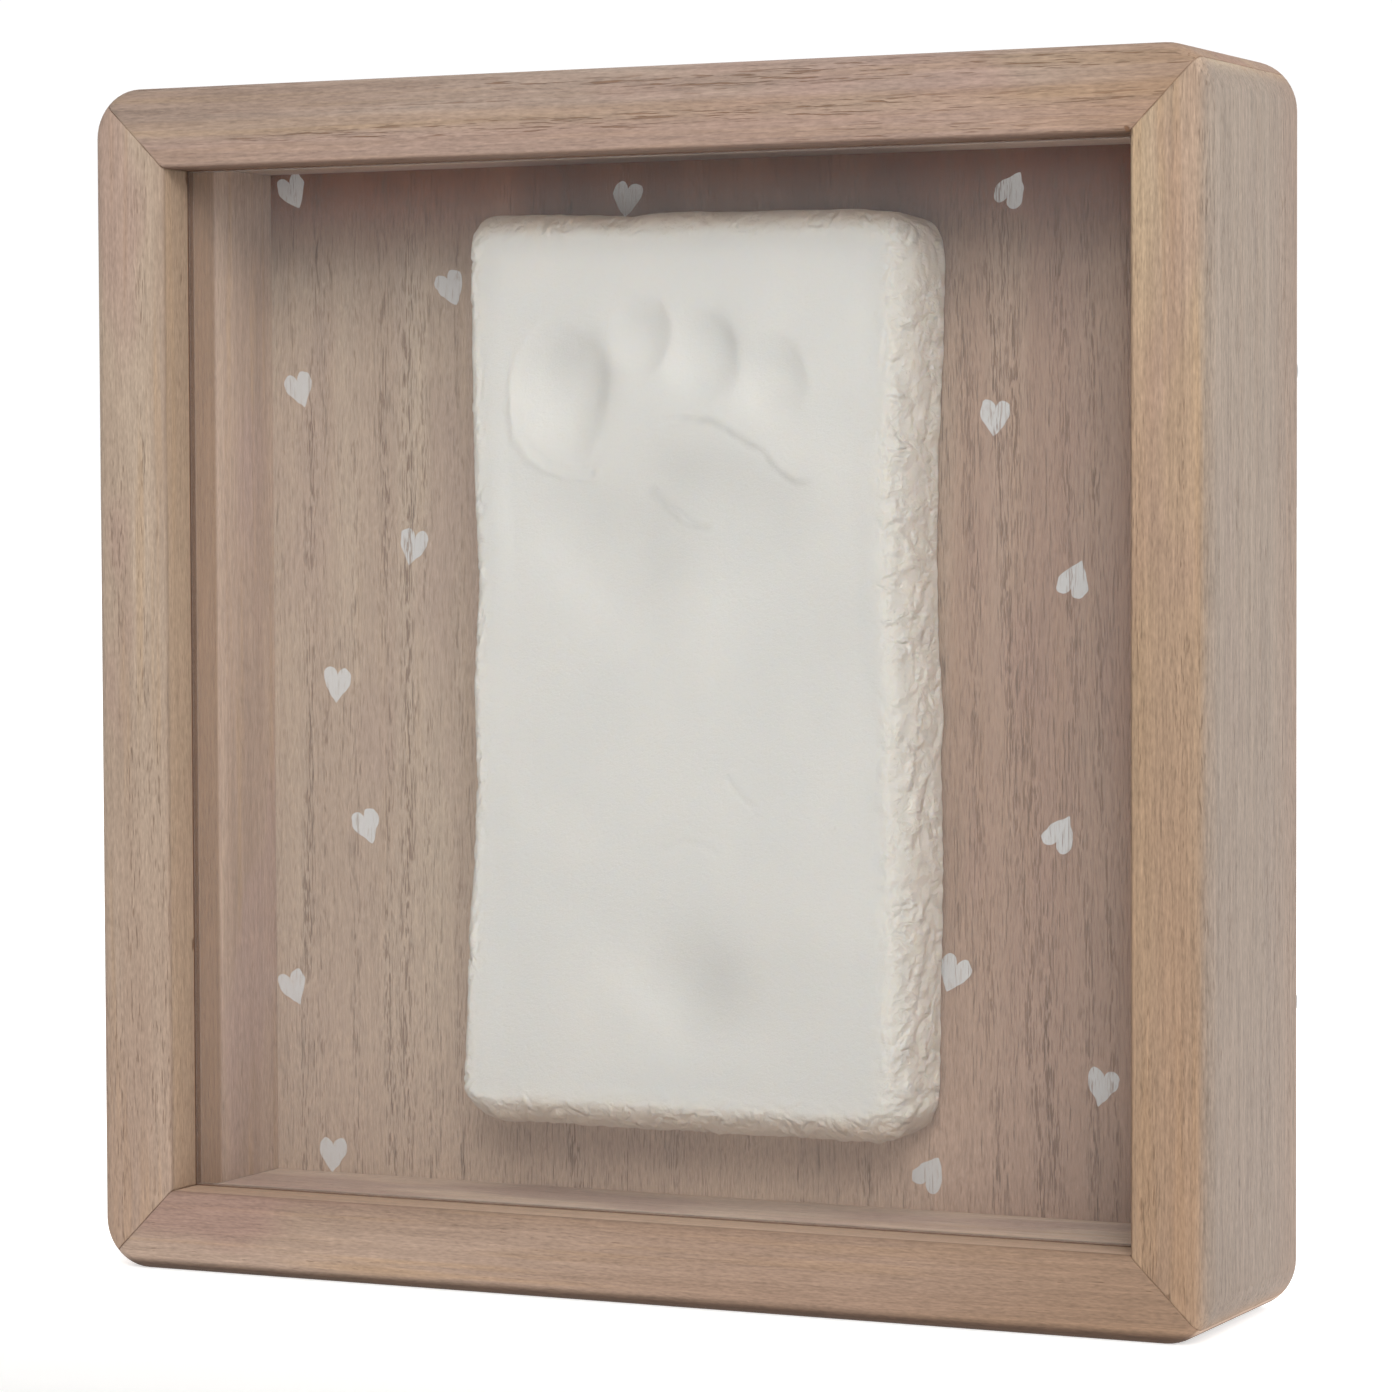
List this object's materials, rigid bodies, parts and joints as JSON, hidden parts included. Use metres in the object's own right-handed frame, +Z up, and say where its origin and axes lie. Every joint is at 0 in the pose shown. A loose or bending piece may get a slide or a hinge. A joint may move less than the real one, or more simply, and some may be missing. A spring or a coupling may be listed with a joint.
{
  "type": "picture frame",
  "caption": "Square wooden shadow-box frame with a clear pane over a white clay slab that bears a baby's footprint, closed behind by turning latches.",
  "frame": {"origin": "centre of the flat underside that the frame stands on, midway between its front and its back", "axes": "+X to the right seen from the front, +Y from the front to the back, +Z up"},
  "size_m": [0.17, 0.0378, 0.17],
  "materials": {
    "rail_wood": "pale open-grained wood, sanded and left matt",
    "liner_wood": "pale wood strip, sanded and left matt",
    "panel_wood": "open-grained wood board with small white printed hearts",
    "clay": "white air-dried modelling clay, matt, with soft crumpled edges",
    "pane": "clear polished acrylic sheet",
    "foam": "white foam mounting tape",
    "plated_steel": "zinc-plated pressed steel",
    "bright_steel": "bright steel fasteners"
  },
  "bodies": {
    "root": {"rail_top": "rail_wood", "rail_bottom": "rail_wood", "rail_left": "rail_wood", "rail_right": "rail_wood", "corner_wedge_nails": "bright_steel", "window_pane": "pane", "liner_top": "liner_wood", "liner_bottom": "liner_wood", "liner_left": "liner_wood", "liner_right": "liner_wood", "back_panel": "panel_wood", "adhesive_pads": "foam", "footprint_slab": "clay", "button_screws": "bright_steel", "sawtooth_hanger": "plated_steel", "hanger_nails": "bright_steel"},
    "turn_button_upper_left": {"turn_button_upper_left": "plated_steel"},
    "turn_button_upper_right": {"turn_button_upper_right": "plated_steel"},
    "turn_button_lower_left": {"turn_button_lower_left": "plated_steel"},
    "turn_button_lower_right": {"turn_button_lower_right": "plated_steel"}
  },
  "joints": [
    {"name": "upper_left_button_turn", "type": "hinge", "parent": "root", "child": "turn_button_upper_left", "pos_m": [-0.081, 0.0176, 0.128], "axis": [0, 1, 0], "continuous": true},
    {"name": "upper_right_button_turn", "type": "hinge", "parent": "root", "child": "turn_button_upper_right", "pos_m": [0.081, 0.0176, 0.128], "axis": [0, 1, 0], "continuous": true},
    {"name": "lower_left_button_turn", "type": "hinge", "parent": "root", "child": "turn_button_lower_left", "pos_m": [-0.081, 0.0176, 0.042], "axis": [0, 1, 0], "continuous": true},
    {"name": "lower_right_button_turn", "type": "hinge", "parent": "root", "child": "turn_button_lower_right", "pos_m": [0.081, 0.0176, 0.042], "axis": [0, 1, 0], "continuous": true}
  ]
}
